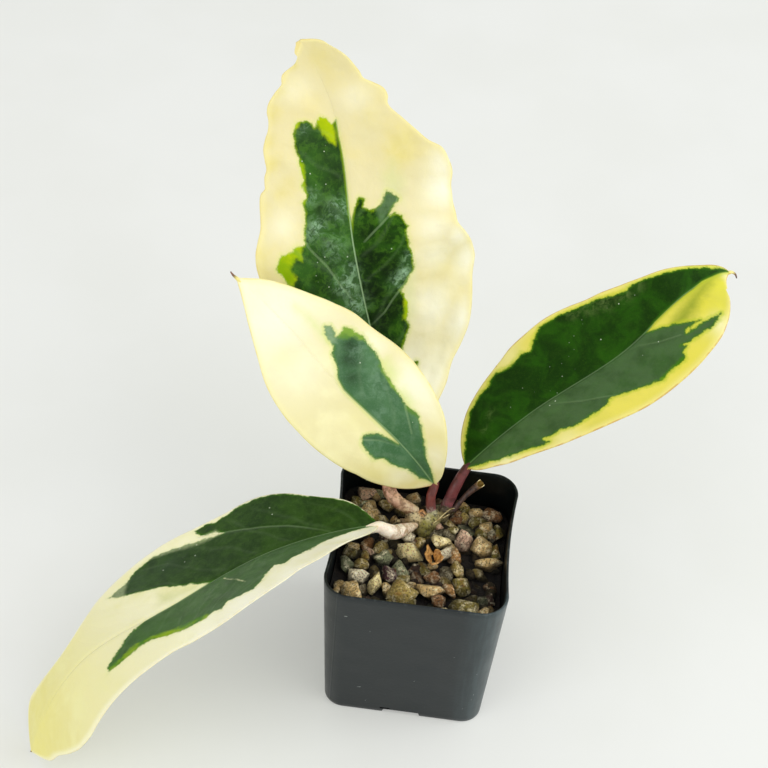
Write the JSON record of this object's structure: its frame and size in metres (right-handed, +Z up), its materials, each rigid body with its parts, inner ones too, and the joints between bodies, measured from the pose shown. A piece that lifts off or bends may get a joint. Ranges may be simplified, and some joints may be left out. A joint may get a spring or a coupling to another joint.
{
  "type": "potted hoya",
  "caption": "Potted wax vine with large variegated cream and green leaves on a short crown, in a small square nursery pot of gritty stone mix.",
  "frame": {"origin": "centre of the pot's foot, on the surface that it stands on", "axes": "+Z up, -Y toward the side seen in the picture, +X to the right"},
  "size_m": [0.1987, 0.1635, 0.1705],
  "materials": {
    "pot_plastic": "satin black moulded plastic, dusty and lightly scratched",
    "gritty_stones": "loose matt stones, tan, olive, grey-green and brown",
    "crown_bark": "knobby yellow-green crown with tan scars",
    "dry_wood": "dry brown stalk",
    "petiole_pale": "smooth cream stalk with pink flush",
    "petiole_pink": "pinkish stalk, corky below",
    "petiole_red": "smooth reddish stalk",
    "leaf_cream": "waxy cream leaf with dark green sectors",
    "leaf_green": "waxy dark green leaf with yellow margin"
  },
  "bodies": {
    "root": {"pot": "pot_plastic", "potting_mix": "gritty_stones", "stem": "crown_bark", "dry_stub": "dry_wood", "petiole_left": "petiole_pale", "petiole_back": "petiole_pink", "petiole_front": "petiole_red", "petiole_right": "petiole_red", "leaf_left": "leaf_cream", "leaf_front": "leaf_cream", "leaf_back": "leaf_cream", "leaf_right": "leaf_green"}
  },
  "joints": []
}
